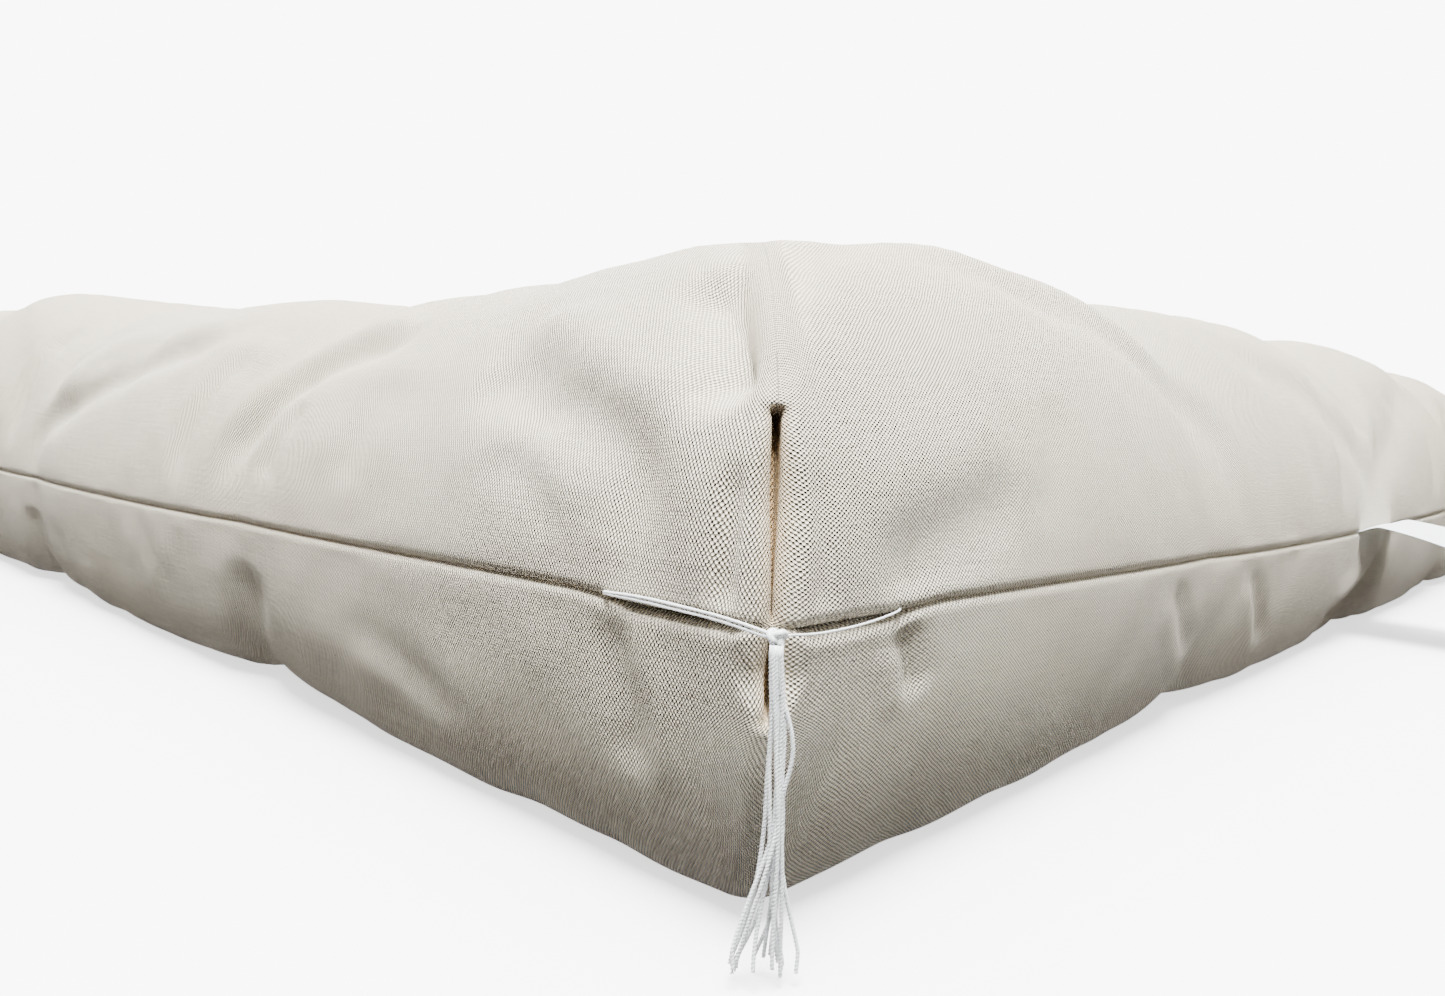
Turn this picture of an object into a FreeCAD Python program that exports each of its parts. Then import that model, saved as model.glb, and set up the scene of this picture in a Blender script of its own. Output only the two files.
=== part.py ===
"""A square tufted floor cushion: a cotton canvas cover over layers of cotton batting, tied through
with nine tufts, its four corners tucked in and held by tie threads that end in hanging tassels.

Frame: millimetres, +Z up, origin on the floor under the middle of the cushion.
The front is the -Y side, and the right is the +X side.
"""

import FreeCAD, Part
import math
import os

Vec = FreeCAD.Vector

# The cushion's outside
SIDE = 700.0                # length of each sewn side
TOP_HEIGHT = 104.0          # crown of the top above the floor
SEAM_HEIGHT = 45.0          # the seam between the two panels
CANVAS = 0.8                # thickness of the cover cloth

# Tufts, in a square grid
TUFT_SPACING = 178.0
TUFT_ROWS = (-TUFT_SPACING, 0.0, TUFT_SPACING)
TOP_DIMPLE = 36.0           # depth of the hollow round a tuft in the top
BOTTOM_DIMPLE = 24.0        # and in the underside
DIMPLE_FLOOR = 5.0          # radius of a hollow at its deepest
DIMPLE_WAIST = 24.0         # radius where the steep part ends
DIMPLE_SHOULDER = 0.35      # share of the depth that is left there
DIMPLE_RIM = 58.0           # radius at the face
TUFT_THREAD = 2.0           # diameter of the bundle of threads in a tuft
TUFT_HOLE = 2.8
TUFT_KNOT_RADIUS = 3.0
TUFT_CLEARANCE = 0.3        # between a tuft's knots and the cover

# Seam
ALLOWANCE = 10.0            # width of the seam allowance inside the cover
SEAM_GAP = 0.2              # gap between the two panels at the seam
SEAM_THREAD = 0.5
SEAM_THREAD_INSET = 3.0
SEAM_THREAD_CORNER = 12.0
CLOSING_LENGTH = 200.0      # opening on the back side that was sewn shut after filling
CLOSING_PITCH = 8.0
CLOSING_STITCH = 5.0        # length of one closing stitch across the seam
CLOSING_LEAN = 0.3          # how far a closing stitch leans along the seam for each step up

# Filling
LAYERS = ("batting_bottom", "batting_lower", "batting_core", "batting_upper", "batting_top")
FILL_CLEARANCE = 7.0        # loose fluff between the cover and the filling
LAYER_GAP = 0.6
FILL_INSET = 14.0           # from the seam to the edge of the layers
CORNER_CUT = 46.0           # leg of the triangle taken off each corner of the layers
WAD_INSET = 27.0            # from both sides to the middle of a corner wad
WAD_RADIUS = 9.0
WAD_HEIGHT = 26.0

# Tucked corners: slits, ties, knots and tassels
SLIT_WIDTH = 1.3
SLIT_DEPTH = 14.0
SLIT_TOP = 73.0
SLIT_BOTTOM = 33.0
TIE_ENTRY = 31.0            # from the corner to where the tie goes into the seam
TIE_CLEARANCE = 0.25        # between a tie thread and the seam that it runs along
TIE_TAIL = 8.0              # depth that a tie reaches inside the cover
TIE_TAIL_SHIFT = 4.0        # and how far it runs on along the seam there
LEFT_TIE = 0.7              # two strands together
RIGHT_TIE = 0.4             # one strand
KNOT_RADIUS = 1.7
KNOT_OUT = 2.4              # from the corner to the middle of the knot, along the diagonal
KNOT_HEIGHT = 44.4
TASSEL_DIAMETER = 4.6
TASSEL_CLEARANCE = 0.35     # between the knot and the tassel that swings below it
# Tassel route below the knot: out along the diagonal, sideways, and down
TASSEL_ROUTE = ((0.9, 0.0, 0.0), (1.3, 0.9, 13.0), (1.3, 0.7, 27.0), (1.1, -0.3, 41.2))
ARC_SHARE = 0.45            # share of the shorter run that each bend takes up

# Care label, a folded tape sewn into the right-hand seam
LABEL_WIDTH = 50.0
LABEL_OUT = 40.0
LABEL_THICKNESS = 0.6
LABEL_START = 329.0         # from the front right corner along the right side
LABEL_CLEARANCE = 1.0       # between the seam and the part of the label that bends

HALF = SIDE / 2
PAST = 10.0                 # how far a cutting tool reaches past what it cuts
CORNERS = {
    "front_right": (1, -1),
    "front_left": (-1, -1),
    "back_right": (1, 1),
    "back_left": (-1, 1),
}


def pillow(half, high, base):
    """A solid over a square at base, whose sides round over to a flat face at the height high.

    It is what two rounded slabs that cross have in common, so each corner keeps an upright ridge."""
    radius = abs(high - base)
    up = 1 if high > base else -1
    flat = half - radius
    bow = radius * math.sqrt(0.5)
    slabs = []
    for turned in (False, True):
        corners = [Vec(-half, 0, base), Vec(-flat, 0, high), Vec(flat, 0, high), Vec(half, 0, base)]
        bulges = [Vec(side * (flat + bow), 0, base + up * bow) for side in (-1, 1)]
        outline = Part.Wire([
            Part.LineSegment(corners[3], corners[0]).toShape(),
            Part.Arc(corners[0], bulges[0], corners[1]).toShape(),
            Part.LineSegment(corners[1], corners[2]).toShape(),
            Part.Arc(corners[2], bulges[1], corners[3]).toShape(),
        ])
        rounded = Part.Face(outline).extrude(Vec(0, 2 * half, 0))
        rounded.translate(Vec(0, -half, 0))
        if turned:
            rounded.rotate(Vec(0, 0, 0), Vec(0, 0, 1), 90)
        slabs.append(rounded)
    return slabs[0].common(slabs[1])


def dimples(face, depth, wider=0.0):
    """The hollows that the tufts pull into a face at a height: steep near the tuft, then shallow.

    The depth is negative in the underside, where the hollows go up."""
    side = math.copysign(1.0, depth)
    steps = [(0.0, depth), (DIMPLE_FLOOR, depth), (DIMPLE_WAIST, DIMPLE_SHOULDER * depth), (DIMPLE_RIM, 0.0)]
    points = [Vec(radius + wider * (radius > 0), 0, face - down) for radius, down in steps]
    points += [Vec(DIMPLE_RIM + wider, 0, face + side), Vec(0, 0, face + side)]
    profile = Part.Face(Part.makePolygon(points + points[:1]))
    hollow = profile.revolve(Vec(0, 0, 0), Vec(0, 0, 1), 360)
    tools = []
    for x, y in tuft_centres():
        tools.append(hollow.translated(Vec(x, y, 0)))
    return Part.makeCompound(tools)


def slab(x0, x1, y0, y1, z0, z1):
    return Part.makeBox(x1 - x0, y1 - y0, z1 - z0, Vec(x0, y0, z0))


def tuft_centres():
    return [(x, y) for y in TUFT_ROWS for x in TUFT_ROWS]


def tuft_holes():
    """Upright rods through the whole cushion, where the tuft threads pass."""
    rods = []
    for x, y in tuft_centres():
        rods.append(Part.makeCylinder(TUFT_HOLE / 2, TOP_HEIGHT + 2 * PAST, Vec(x, y, -PAST)))
    return Part.makeCompound(rods)


def diagonal(corner):
    """Unit vectors at a corner: outwards, and sideways to the right as seen from outside."""
    sx, sy = CORNERS[corner]
    out = Vec(sx, sy, 0).normalize()
    return out, Vec(-out.y, out.x, 0)


def slit(corner, low, high):
    """The upright slot that a tucked corner leaves in the cover."""
    sx, sy = CORNERS[corner]
    tool = slab(-SLIT_DEPTH, SLIT_DEPTH, -SLIT_WIDTH / 2, SLIT_WIDTH / 2, low, high)
    tool.rotate(Vec(0, 0, 0), Vec(0, 0, 1), math.degrees(math.atan2(sy, sx)))
    tool.translate(Vec(sx * HALF, sy * HALF, 0))
    return tool


def allowance(low, high):
    """The flat band inside the seam where a panel is turned in."""
    rim = HALF - CANVAS / 2
    edge = HALF - ALLOWANCE
    return slab(-rim, rim, -rim, rim, low, high).cut(slab(-edge, edge, -edge, edge, low - PAST, high + PAST))


def top_panel():
    base = SEAM_HEIGHT + SEAM_GAP / 2
    outer = pillow(HALF, TOP_HEIGHT, base).cut(dimples(TOP_HEIGHT, TOP_DIMPLE))
    lining = TOP_HEIGHT - CANVAS
    inner = pillow(HALF - CANVAS, lining, base).cut(dimples(lining, TOP_DIMPLE, CANVAS))
    panel = outer.cut(inner).fuse(allowance(base, base + CANVAS))
    slits = [slit(corner, base - PAST, SLIT_TOP) for corner in CORNERS]
    return panel.cut(Part.makeCompound(slits)).cut(tuft_holes())


def bottom_panel():
    base = SEAM_HEIGHT - SEAM_GAP / 2
    outer = pillow(HALF, 0.0, base).cut(dimples(0.0, -BOTTOM_DIMPLE))
    inner = pillow(HALF - CANVAS, CANVAS, base).cut(dimples(CANVAS, -BOTTOM_DIMPLE, CANVAS))
    panel = outer.cut(inner).fuse(allowance(base - CANVAS, base))
    slits = [slit(corner, SLIT_BOTTOM, base + PAST) for corner in CORNERS]
    return panel.cut(Part.makeCompound(slits)).cut(tuft_holes())


def filling():
    """The whole space of the batting, inside the cover, around the tufts and clear of the wads."""
    half = HALF - FILL_INSET
    low, high = FILL_CLEARANCE, TOP_HEIGHT - FILL_CLEARANCE
    upper = pillow(half, high, SEAM_HEIGHT).cut(dimples(high, TOP_DIMPLE, FILL_CLEARANCE))
    lower = pillow(half, low, SEAM_HEIGHT).cut(dimples(low, -BOTTOM_DIMPLE, FILL_CLEARANCE))
    return upper.fuse(lower).cut(Part.makeCompound(corner_cuts())).cut(tuft_holes())


def batting_layer(index, whole):
    """One flat layer of cotton, a slice of the whole filling."""
    low, high = FILL_CLEARANCE, TOP_HEIGHT - FILL_CLEARANCE
    step = (high - low) / len(LAYERS)
    start = low + index * step
    thick = slab(-HALF, HALF, -HALF, HALF, start + LAYER_GAP / 2, start + step - LAYER_GAP / 2)
    return whole.common(thick)


def corner_cuts():
    """Prisms that take the corners off the batting, to leave room for the wads."""
    cuts = []
    out = HALF - FILL_INSET + PAST
    back = out - CORNER_CUT - 2 * PAST
    for sx, sy in CORNERS.values():
        points = [Vec(sx * x, sy * y, 0) for x, y in ((out, out), (back, out), (out, back))]
        face = Part.Face(Part.makePolygon(points + points[:1]))
        cuts.append(face.extrude(Vec(0, 0, TOP_HEIGHT)))
    return cuts


def corner_wad(corner):
    """A tuft of loose cotton stuffed into the corner, taller than it is wide."""
    sx, sy = CORNERS[corner]
    stretch = FreeCAD.Matrix()
    stretch.scale(1, 1, WAD_HEIGHT / 2 / WAD_RADIUS)
    wad = Part.makeSphere(WAD_RADIUS).transformGeometry(stretch)
    wad.translate(Vec(sx * (HALF - WAD_INSET), sy * (HALF - WAD_INSET), SEAM_HEIGHT))
    return wad


def tuft_tie(x, y):
    """Threads drawn down through the cushion and knotted above and below."""
    top = TOP_HEIGHT - TOP_DIMPLE + TUFT_KNOT_RADIUS + TUFT_CLEARANCE
    bottom = BOTTOM_DIMPLE - TUFT_KNOT_RADIUS - TUFT_CLEARANCE
    stem = Part.makeCylinder(TUFT_THREAD / 2, top - bottom, Vec(x, y, bottom))
    knots = [Part.makeSphere(TUFT_KNOT_RADIUS, Vec(x, y, z)) for z in (bottom, top)]
    return stem.fuse(knots)


def bent_path(points):
    """Straight runs joined by tangent arcs, and the radius of each arc."""
    edges, radii = [], []
    start = points[0]
    for before, here, after in zip(points, points[1:], points[2:]):
        back, ahead = before.sub(here), after.sub(here)
        half_turn = (math.pi - back.getAngle(ahead)) / 2
        trim = ARC_SHARE * min(back.Length, ahead.Length)
        radii.append(trim / math.tan(half_turn))
        enter = here.add(back.normalize().multiply(trim))
        leave = here.add(ahead.normalize().multiply(trim))
        towards = enter.add(leave).multiply(0.5).sub(here)
        reach = radii[-1] / math.cos(half_turn) - radii[-1]
        middle = here.add(towards.normalize().multiply(reach))
        edges += [Part.LineSegment(start, enter).toShape(), Part.Arc(enter, middle, leave).toShape()]
        start = leave
    edges.append(Part.LineSegment(start, points[-1]).toShape())
    return Part.Wire(edges), radii


def tube(path, diameter):
    """A round tube along a path."""
    first = path.Edges[0]
    start = first.valueAt(first.FirstParameter)
    along = first.tangentAt(first.FirstParameter)
    profile = Part.Wire(Part.makeCircle(diameter / 2, start, along))
    return path.makePipeShell([profile], True, False)


def knot_centre(corner):
    out, _ = diagonal(corner)
    sx, sy = CORNERS[corner]
    return Vec(sx * HALF, sy * HALF, KNOT_HEIGHT).add(out.multiply(KNOT_OUT))


def seam_point(corner, on_x_side, across, along):
    """A point at the height of the seam, by its distances from the middle across one side and along it."""
    sx, sy = CORNERS[corner]
    x, y = (across, along) if on_x_side else (along, across)
    return Vec(sx * x, sy * y, SEAM_HEIGHT)


def corner_tie(corner):
    """The threads that cross the tucked corner: out of the seam on each side, and to the knot."""
    sx, sy = CORNERS[corner]
    centre = knot_centre(corner)
    along = HALF - TIE_ENTRY
    threads = []
    for on_x_side in (True, False):
        right = on_x_side == (sx != sy)
        diameter = RIGHT_TIE if right else LEFT_TIE
        entry = seam_point(corner, on_x_side, HALF + diameter / 2 + TIE_CLEARANCE, along)
        inside = seam_point(corner, on_x_side, HALF - TIE_TAIL, along - TIE_TAIL_SHIFT)
        for start, end in ((inside, entry), (entry, centre)):
            run = end.sub(start)
            threads.append(Part.makeCylinder(diameter / 2, run.Length, start, run))
        threads.append(Part.makeSphere(diameter / 2, entry))
    joined = threads[0].fuse(threads[1:])
    return joined.cut(Part.makeSphere(KNOT_RADIUS, centre))


def corner_knot(corner):
    return Part.makeSphere(KNOT_RADIUS, knot_centre(corner))


def tassel(corner):
    """The hanging bundle of strands, as one limp tube, and the radii of its bends."""
    out, side = diagonal(corner)
    top = knot_centre(corner).sub(Vec(0, 0, KNOT_RADIUS + TASSEL_CLEARANCE))
    route = []
    for outwards, sideways, down in TASSEL_ROUTE:
        shift = Vec(out).multiply(outwards).add(Vec(side).multiply(sideways))
        route.append(top.add(shift).sub(Vec(0, 0, down)))
    path, radii = bent_path(route)
    solid = tube(path, TASSEL_DIAMETER)
    whole = math.pi * TASSEL_DIAMETER ** 2 / 4 * path.Length
    print(corner, "tassel length", round(path.Length, 2), "radii", [round(r, 1) for r in radii],
          "volume share", round(solid.Volume / whole, 4), "tip", round(route[-1].z, 2))
    return solid


def seam_thread():
    """The line of stitching that joins the two seam allowances all round."""
    edge = HALF - SEAM_THREAD_INSET
    flat = edge - SEAM_THREAD_CORNER
    bow = SEAM_THREAD_CORNER * math.sqrt(0.5)
    edges = []
    for quarter in range(4):
        turn = FreeCAD.Rotation(Vec(0, 0, 1), 90 * quarter)
        ends = [turn.multVec(Vec(edge, y, SEAM_HEIGHT)) for y in (-flat, flat)]
        around = turn.multVec(Vec(flat + bow, flat + bow, SEAM_HEIGHT))
        leave = turn.multVec(Vec(flat, edge, SEAM_HEIGHT))
        edges += [Part.LineSegment(*ends).toShape(), Part.Arc(ends[1], around, leave).toShape()]
    return tube(Part.Wire(edges), SEAM_THREAD)


def closing_stitches():
    """Slanted hand stitches across the seam where the filling went in."""
    count = int(CLOSING_LENGTH / CLOSING_PITCH)
    lean = Vec(CLOSING_LEAN, 0, 1).normalize()
    stitches = []
    for i in range(count):
        x = (i - (count - 1) / 2) * CLOSING_PITCH
        start = Vec(x, HALF, SEAM_HEIGHT).sub(Vec(lean).multiply(CLOSING_STITCH / 2))
        stitches.append(Part.makeCylinder(SEAM_THREAD / 2, CLOSING_STITCH, start, lean))
    return Part.makeCompound(stitches)


def care_label():
    """The part of the tape that shows outside the seam, held out level."""
    front = LABEL_START - HALF
    low = SEAM_HEIGHT - LABEL_THICKNESS / 2
    high = SEAM_HEIGHT + LABEL_THICKNESS / 2
    return slab(HALF + LABEL_CLEARANCE, HALF + LABEL_OUT, front, front + LABEL_WIDTH, low, high)


def build():
    """Every piece by its name."""
    pieces = {"top_panel": top_panel(), "bottom_panel": bottom_panel(), "seam_thread": seam_thread()}
    pieces["closing_stitches"] = closing_stitches()
    pieces["care_label"] = care_label()
    whole = filling()
    for index, name in enumerate(LAYERS):
        pieces[name] = batting_layer(index, whole)
    for number, (x, y) in enumerate(tuft_centres(), start=1):
        pieces[f"tuft_tie_{number}"] = tuft_tie(x, y)
    for corner in CORNERS:
        pieces[f"corner_wad_{corner}"] = corner_wad(corner)
        pieces[f"corner_tie_{corner}"] = corner_tie(corner)
        pieces[f"corner_knot_{corner}"] = corner_knot(corner)
        pieces[f"tassel_{corner}"] = tassel(corner)
    return pieces


os.makedirs("parts", exist_ok=True)
for node, shape in build().items():
    box = shape.BoundBox
    print(node, "solids", len(shape.Solids), "valid", shape.isValid(), "volume", round(shape.Volume, 1),
          "z", round(box.ZMin, 2), round(box.ZMax, 2))
    shape.exportStep(f"parts/{node}.step")
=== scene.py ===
"""The looks of a square tufted floor cushion: canvas cover, tucked corners with tie threads and
tassels, tufts and a care label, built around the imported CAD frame. Metres throughout."""

import math

import bpy
import numpy as np
from mathutils import Matrix, Vector


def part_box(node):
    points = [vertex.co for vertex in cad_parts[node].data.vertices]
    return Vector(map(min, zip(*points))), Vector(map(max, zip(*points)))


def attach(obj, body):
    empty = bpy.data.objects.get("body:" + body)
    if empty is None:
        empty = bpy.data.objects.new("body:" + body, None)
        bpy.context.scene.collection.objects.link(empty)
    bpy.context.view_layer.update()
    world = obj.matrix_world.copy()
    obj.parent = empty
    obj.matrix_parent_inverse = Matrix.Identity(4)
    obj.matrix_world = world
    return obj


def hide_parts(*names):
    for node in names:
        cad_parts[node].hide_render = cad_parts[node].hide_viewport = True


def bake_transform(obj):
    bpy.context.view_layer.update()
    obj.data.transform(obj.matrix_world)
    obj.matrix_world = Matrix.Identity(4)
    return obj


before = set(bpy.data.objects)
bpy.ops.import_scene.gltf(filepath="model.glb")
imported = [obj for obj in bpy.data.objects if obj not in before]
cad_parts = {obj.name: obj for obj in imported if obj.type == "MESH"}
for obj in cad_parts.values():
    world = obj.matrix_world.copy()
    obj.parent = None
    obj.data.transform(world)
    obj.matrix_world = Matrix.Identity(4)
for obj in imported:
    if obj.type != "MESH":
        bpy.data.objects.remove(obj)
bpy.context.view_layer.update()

MM = 0.001
CORNERS = {"front_right": (1, -1), "front_left": (-1, -1), "back_right": (1, 1), "back_left": (-1, 1)}


# ------ sizes from the frame

top_low, top_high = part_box("top_panel")
HALF = top_high.x
SEAM = top_low.z
TOP = top_high.z
TUFTS = []
for number in range(1, 10):
    low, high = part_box(f"tuft_tie_{number}")
    TUFTS.append(((low.x + high.x) / 2, (low.y + high.y) / 2))
ROWS = sorted({round(x, 6) for x, _ in TUFTS})


# ------ small helpers

def smooth(low, high, x):
    """0 below low, 1 above high, and a smooth step between."""
    t = np.clip((x - low) / (high - low), 0, 1)
    return t * t * (3 - 2 * t)


def lattice(shape_seed, x, y):
    """Smooth value noise from -1 to 1 at points of a plane."""
    rng = np.random.default_rng(shape_seed)
    table = rng.uniform(-1, 1, (64, 64))
    xi, yi = np.floor(x).astype(int), np.floor(y).astype(int)
    fx, fy = x - xi, y - yi
    fx, fy = fx * fx * (3 - 2 * fx), fy * fy * (3 - 2 * fy)
    a, b = table[xi % 64, yi % 64], table[(xi + 1) % 64, yi % 64]
    c, d = table[xi % 64, (yi + 1) % 64], table[(xi + 1) % 64, (yi + 1) % 64]
    return (a * (1 - fx) + b * fx) * (1 - fy) + (c * (1 - fx) + d * fx) * fy


def mesh_object(name, points, faces, uv=None):
    """A smooth-shaded mesh from arrays of points and faces."""
    mesh = bpy.data.meshes.new(name)
    # A quad that closes up to a triangle keeps each of its points once.
    rings = [tuple(dict.fromkeys(f)) for f in np.asarray(faces).tolist()]
    mesh.from_pydata(np.asarray(points).tolist(), [], [ring for ring in rings if len(ring) > 2])
    mesh.polygons.foreach_set("use_smooth", np.ones(len(mesh.polygons), bool))
    if uv is not None:
        layer = mesh.uv_layers.new(name="cloth")
        corner = np.zeros(len(mesh.loops), np.int32)
        mesh.loops.foreach_get("vertex_index", corner)
        layer.data.foreach_set("uv", np.asarray(uv, np.float32)[corner].ravel())
    mesh.update()
    mesh.validate()
    thing = bpy.data.objects.new(name, mesh)
    bpy.context.scene.collection.objects.link(thing)
    return thing


def normals_of(points, quads):
    """Unit normals at the points of a mesh of quads."""
    a, b, c, d = (points[quads[:, i]] for i in range(4))
    face = np.cross(c - a, d - b)
    out = np.zeros_like(points)
    for i in range(4):
        np.add.at(out, quads[:, i], face)
    return out / np.maximum(np.linalg.norm(out, axis=1), 1e-12)[:, None]


# ------ the cover's two panels

TOP_SHOULDER = 52 * MM      # how far in from the seam the top takes to level out
BOTTOM_SHOULDER = 14 * MM   # and the underside, which the floor flattens
FLOOR_CLEARANCE = 0.3 * MM
SEAM_GROOVE = 1.2 * MM
SEAM_SAG = 5.5 * MM         # of the seam in the middle of a side
MEAN_SAG = 3.5 * MM         # and taken as one over the whole panel
SIDE_BOW = 2.2 * MM         # how far the middle of a side is pulled in
ROW_PULL = 1.8 * MM         # and how much further where a row of tufts meets it

# Corners
LIP = 3.0 * MM              # radius of the fold on each side of a corner's slit
SLIT_DEPTH = 9 * MM
TOP_SLIT, BOTTOM_SLIT = 29 * MM, 12 * MM    # length of a slit above the seam, and below it
SLIT_PINCH = 0.10 * MM      # half of a slit's width at the seam
CLOSE_BEFORE, CLOSE_AFTER = 0.6 * MM, 1.8 * MM  # the cloth closes over this much at a slit's end
TIE_REACH = (26 * MM, 44 * MM)      # from the corner, where the ties' pull starts to fade and where it ends
TIE_DROP = 0.9 * MM         # how far the ties draw the seam down
TIE_GROOVE = 2.4 * MM       # how much deeper the seam's groove is between the ties and the corner

# Mesh
FINE, COARSE = 1.0 * MM, 3.6 * MM   # spacing of the mesh near a corner, and far from it
RING_STEP = 0.75 * MM       # spacing of the rings near the seam
RINGS_EVEN = 34 * MM        # distance from the seam up to which they keep it
LIP_POINTS, WALL_POINTS = 12, 5     # points round one lip, and down one wall of the slit
INNER_RING = 20 * MM        # flat band between the rounded edge and the inner grid

SIDES = [((1, 0), (0, -1)), ((0, 1), (1, 0)), ((-1, 0), (0, 1)), ((0, -1), (-1, 0))]


def side_positions():
    """Places along a side from its middle to its end, closer together near the corner."""
    places, at = [0.0], 0.0
    while at < HALF:
        at += min(COARSE, FINE + 0.045 * at)
        places.append(at)
    places = HALF - np.array(places) * (HALF / places[-1])
    return np.concatenate([-places, places[::-1][1:]])


def edge_profile(height, shoulder):
    """Arc length, inset and rise of the rings from the seam to the flat of a panel."""
    angle = np.linspace(0, math.pi / 2, 2001)
    inset, rise = shoulder * (1 - np.cos(angle)), height * np.sin(angle)
    arc = np.concatenate([[0], np.cumsum(np.hypot(np.diff(inset), np.diff(rise)))])
    places, at = [0.0], 0.0
    while at < arc[-1]:
        at += min(COARSE, RING_STEP + 0.05 * max(0, at - RINGS_EVEN))
        places.append(at)
    places = np.array(places) * (arc[-1] / places[-1])
    flat = arc[-1] + np.linspace(0, INNER_RING, 6)[1:]
    s = np.concatenate([places, flat])
    ring_inset = np.where(s <= arc[-1], np.interp(s, arc, inset), shoulder + s - arc[-1])
    return s, ring_inset, np.interp(s, arc, rise), arc[-1]


def corner_path(s, slit_length, gap, growth):
    """The points that a ring takes round a corner, outwards and sideways from the sharp corner, and how far
    into the tuck each one is."""
    half_gap = gap(s)
    roll = LIP * (1 - 0.5 * smooth(0.5 * slit_length, slit_length, s))
    centre = np.array([-half_gap - (1 + math.sqrt(2)) * roll, -half_gap - roll])
    turn = np.linspace(-math.pi / 4, math.pi / 2, LIP_POINTS)
    lip = centre + roll * np.stack([np.cos(turn), np.sin(turn)], axis=1)
    inwards = np.linspace(centre[0], -SLIT_DEPTH, WALL_POINTS + 1)[1:]
    wall = np.stack([inwards, np.full(WALL_POINTS, -half_gap)], axis=1)
    left = np.concatenate([lip, wall])
    notch = np.concatenate([left, [[-SLIT_DEPTH - half_gap, 0]], left[::-1] * [1, -1]])
    # Above the slit the corner is a ridge as wide as the two lips, and rounder further up.
    end_roll = 0.5 * LIP
    width = ((1 + math.sqrt(0.5)) * end_roll + gap(slit_length)) * math.sqrt(2)
    radius = width + growth * max(0, s - slit_length)
    sweep = np.linspace(-math.pi / 4, math.pi / 4, len(notch))
    rounded = np.stack([-radius * math.sqrt(2) + radius * np.cos(sweep), radius * np.sin(sweep)], axis=1)
    open_part = 1 - smooth(slit_length - CLOSE_BEFORE, slit_length + CLOSE_AFTER, s)
    # The painted shade of the tuck starts on the inner part of each lip and grows down the wall.
    lip_painted_shade = 0.25 * smooth(0.4, 1, np.linspace(0, 1, LIP_POINTS))
    inside = np.concatenate([lip_painted_shade, np.linspace(0.35, 1, WALL_POINTS)])
    tuck = np.concatenate([inside, [1], inside[::-1]]) * open_part
    return notch * open_part + rounded * (1 - open_part), tuck


def ring_round(half, path, tuck, along):
    """One ring round a panel: its points, and for each point its side, its place along it, how far into the
    tuck it is, and how much cloth is turned in before it."""
    cut = -path[0, 0] * math.sqrt(2)
    steps = np.concatenate([[0], np.cumsum(np.linalg.norm(np.diff(path, axis=0), axis=1))])
    turned_in = np.minimum(steps, steps[-1] - steps)
    points, sides, places, tucks, extras = [], [], [], [], []
    for i, (e, n) in enumerate(SIDES):
        e, n = np.array(e, float), np.array(n, float)
        straight = along * (half - cut) / along[-1]
        points.append(np.outer(straight, e) + n * half)
        out, across = (e + n) / math.sqrt(2), (e - n) / math.sqrt(2)
        inner = path[1:-1]
        points.append((e + n) * half + np.outer(inner[:, 0], out) + np.outer(inner[:, 1], across))
        first = np.arange(len(inner)) < len(inner) / 2
        reach = half + inner[:, 0] / math.sqrt(2) - np.abs(inner[:, 1]) / math.sqrt(2)
        sides += [np.full(len(straight), i), np.where(first, i, (i + 1) % 4)]
        places += [straight, np.where(first, 1, -1) * reach]
        tucks += [np.zeros(len(straight)), tuck[1:-1]]
        extras += [np.zeros(len(straight)), half - cut + turned_in[1:-1] - reach]
    return [np.concatenate(part) for part in (points, sides, places, tucks, extras)]


def inner_grid(along, inner_half, first_number, last_ring, per_side):
    """The square grid inside the last ring: its places and its quads. Its border is the ring itself."""
    n = len(along)
    grid = along / along[-1] * inner_half
    gx, gy = np.meshgrid(grid, grid, indexing="ij")
    number = first_number + np.arange(n * n).reshape(n, n)
    for i in range(n):
        number[i, 0] = last_ring + i
        number[n - 1, i] = last_ring + per_side + i
        number[n - 1 - i, n - 1] = last_ring + 2 * per_side + i
        number[0, n - 1 - i] = last_ring + 3 * per_side + i
    cells = np.stack([number[:-1, :-1], number[1:, :-1], number[1:, 1:], number[:-1, 1:]], axis=-1)
    return gx.ravel(), gy.ravel(), cells.reshape(-1, 4)


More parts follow.
